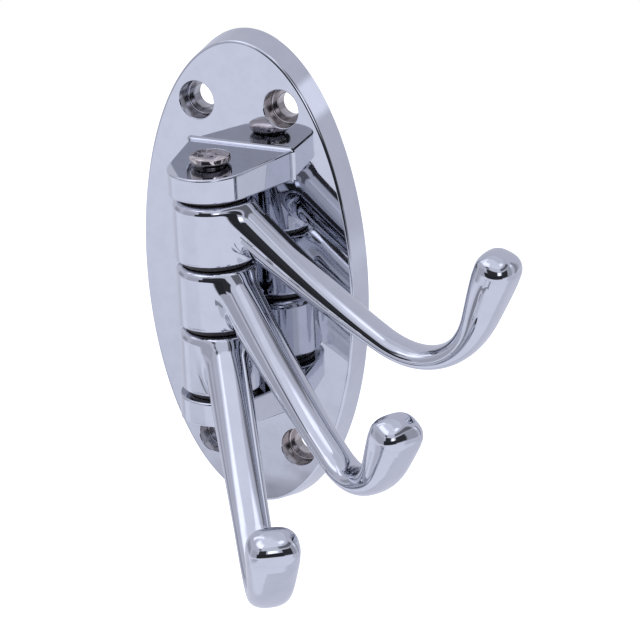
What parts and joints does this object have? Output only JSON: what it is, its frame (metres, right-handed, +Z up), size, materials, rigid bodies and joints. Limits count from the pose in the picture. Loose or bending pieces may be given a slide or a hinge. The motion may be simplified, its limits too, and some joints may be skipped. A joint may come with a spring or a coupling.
{
  "type": "swivel coat hook",
  "caption": "Wall-mounted swivel coat hook: an oval chromed plate with lugs that hold an upright pin, on which separate hook arms turn.",
  "frame": {"origin": "middle of the plate's back face, which is also the middle of the screw holes' pattern", "axes": "+Z up, +Y into the wall (so -Y points out into the room), +X to the right as seen from the room"},
  "size_m": [0.1126, 0.0867, 0.1244],
  "materials": {
    "chrome": "mirror-bright chrome plate on a zinc casting",
    "pin_steel": "bright nickel-plated steel, slightly warmer and duller than the castings",
    "washer": "smooth dark nylon"
  },
  "bodies": {
    "mount": {"back_plate": "chrome", "pivot_pin": "pin_steel", "washer_1": "washer", "washer_2": "washer", "washer_3": "washer", "washer_4": "washer"},
    "upper_hook": {"arm_upper": "chrome"},
    "middle_hook": {"arm_middle": "chrome"},
    "lower_hook": {"arm_lower": "chrome"}
  },
  "joints": [
    {"name": "upper_swivel", "type": "hinge", "parent": "mount", "child": "upper_hook", "pos_m": [0, -0.0222, 0.0174], "axis": [0, 0, 1], "range_deg": [-191.5, 8.5]},
    {"name": "middle_swivel", "type": "hinge", "parent": "mount", "child": "middle_hook", "pos_m": [0, -0.0222, 0.0006], "axis": [0, 0, 1], "range_deg": [-166, 34]},
    {"name": "lower_swivel", "type": "hinge", "parent": "mount", "child": "lower_hook", "pos_m": [0, -0.0222, -0.0162], "axis": [0, 0, 1], "range_deg": [-126.5, 49.5]}
  ]
}
